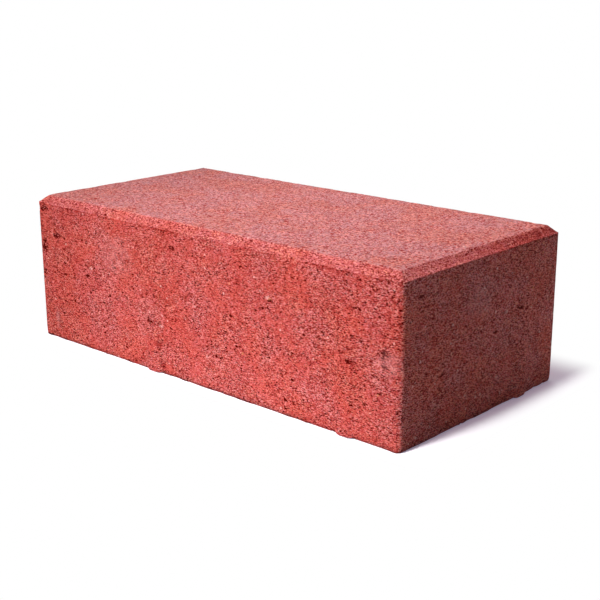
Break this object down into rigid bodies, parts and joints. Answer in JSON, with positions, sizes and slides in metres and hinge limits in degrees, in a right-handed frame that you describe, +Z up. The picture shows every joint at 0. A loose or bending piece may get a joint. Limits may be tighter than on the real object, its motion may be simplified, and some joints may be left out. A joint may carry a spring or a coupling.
{
  "type": "concrete paving stone",
  "caption": "Rectangular through-coloured concrete paving stone with a bevelled wearing face and low spacer nibs on its sides, cast in one piece.",
  "frame": {"origin": "centre of the flat underside, on the bed that the stone is laid on", "axes": "+X along the length, +Y across the width, +Z up out of the bevelled wearing face"},
  "size_m": [0.2, 0.1, 0.0625],
  "materials": {
    "concrete": "red pigmented, vibration-pressed concrete, open-grained and matte"
  },
  "bodies": {
    "root": {"paving_stone": "concrete"}
  },
  "joints": []
}
